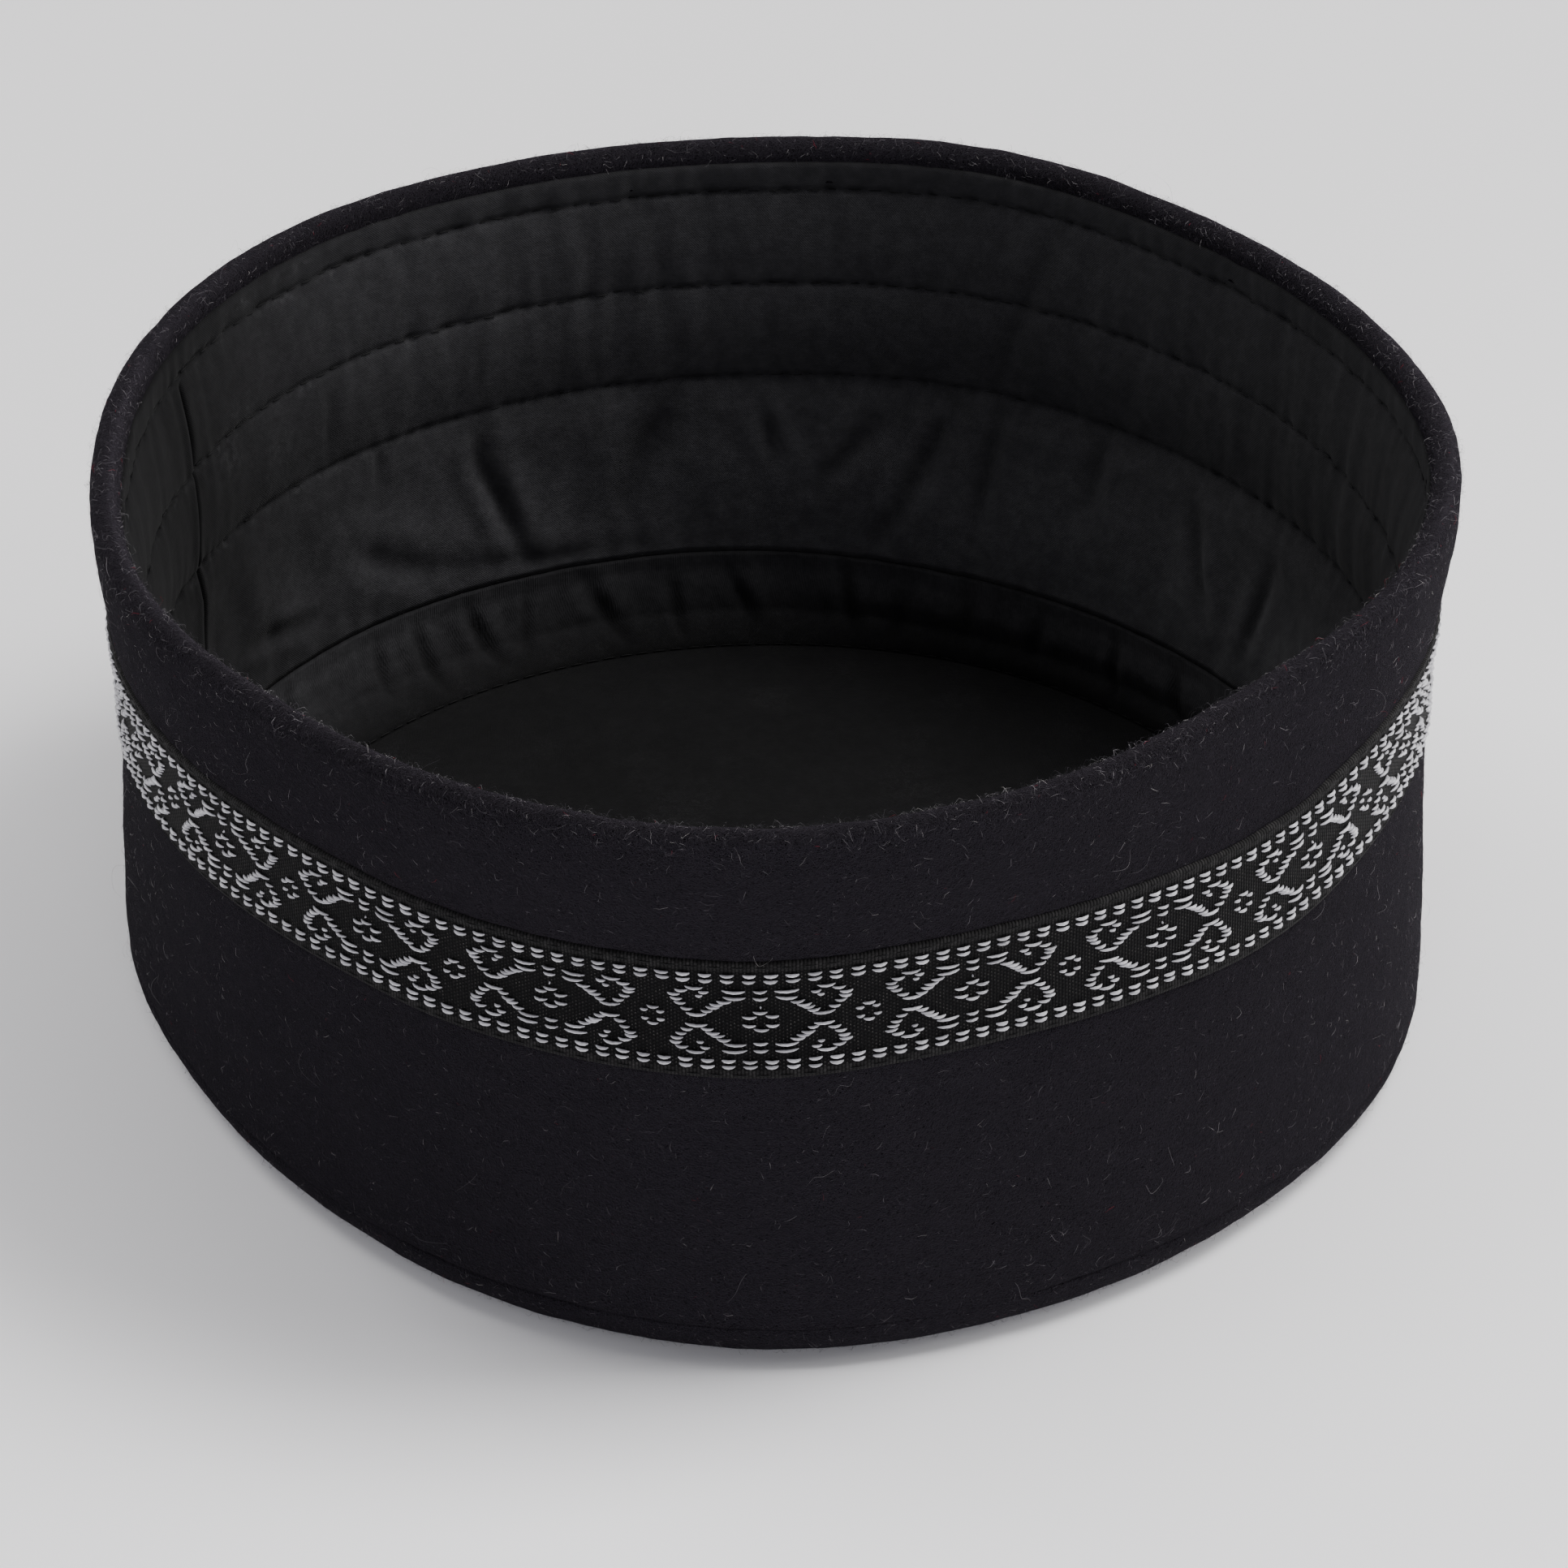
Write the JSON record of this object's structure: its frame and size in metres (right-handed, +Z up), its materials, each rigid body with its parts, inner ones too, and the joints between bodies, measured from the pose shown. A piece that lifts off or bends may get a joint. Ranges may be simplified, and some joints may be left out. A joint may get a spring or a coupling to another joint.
{
  "type": "kufi cap",
  "caption": "Round brimless cap of black wool felt with an upright side, a woven silver-on-black ribbon and a quilted cotton lining, lying on its crown with the head opening up.",
  "frame": {"origin": "centre of the footprint, on the surface that the crown rests on", "axes": "+Z up, out of the head opening; -Y towards the side that the picture shows; +X to its right"},
  "size_m": [0.19, 0.1919, 0.086],
  "materials": {
    "felt": "black fulled wool felt, matt and hairy",
    "ribbon": "black woven ribbon with glossy silver-white floats",
    "lining": "black plain-weave cotton, matt with a little lint"
  },
  "bodies": {
    "root": {"side_band": "felt", "crown": "felt", "ribbon": "ribbon", "side_lining": "lining", "crown_lining": "lining"}
  },
  "joints": []
}
